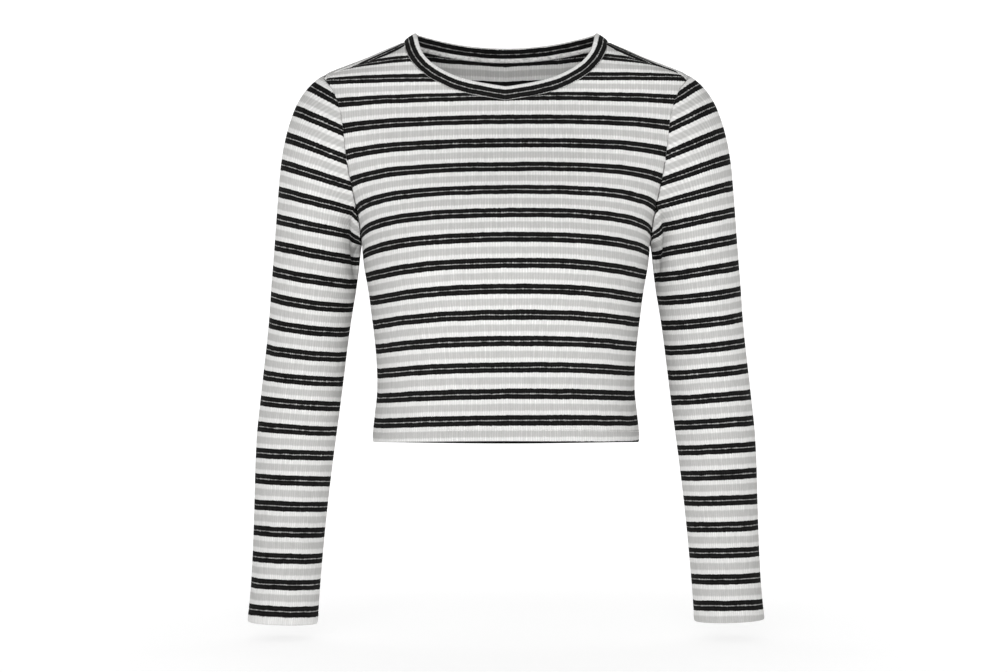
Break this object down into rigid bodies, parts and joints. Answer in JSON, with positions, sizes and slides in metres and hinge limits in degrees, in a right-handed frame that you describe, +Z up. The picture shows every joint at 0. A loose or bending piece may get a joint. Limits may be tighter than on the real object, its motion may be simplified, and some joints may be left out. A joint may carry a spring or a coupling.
{
  "type": "crop top",
  "caption": "Cropped, fitted long-sleeved top in horizontally striped fine rib knit with a round neck and folded neckband, filled out as worn, hollow and open.",
  "frame": {"origin": "on the plane of symmetry between the two shoulders, at the height of the neck points, where the wearer's shoulders carry it", "axes": "+Z up, -Y towards the front of the garment, +X towards its sleeve_right side, which is on the viewer's right seen from the front"},
  "size_m": [0.5462, 0.2166, 0.6269],
  "materials": {
    "rib_knit": "matte",
    "band_knit": "matte"
  },
  "bodies": {
    "root": {"front": "rib_knit", "back": "rib_knit", "sleeve_left": "rib_knit", "sleeve_right": "rib_knit", "neckband": "band_knit"}
  },
  "joints": []
}
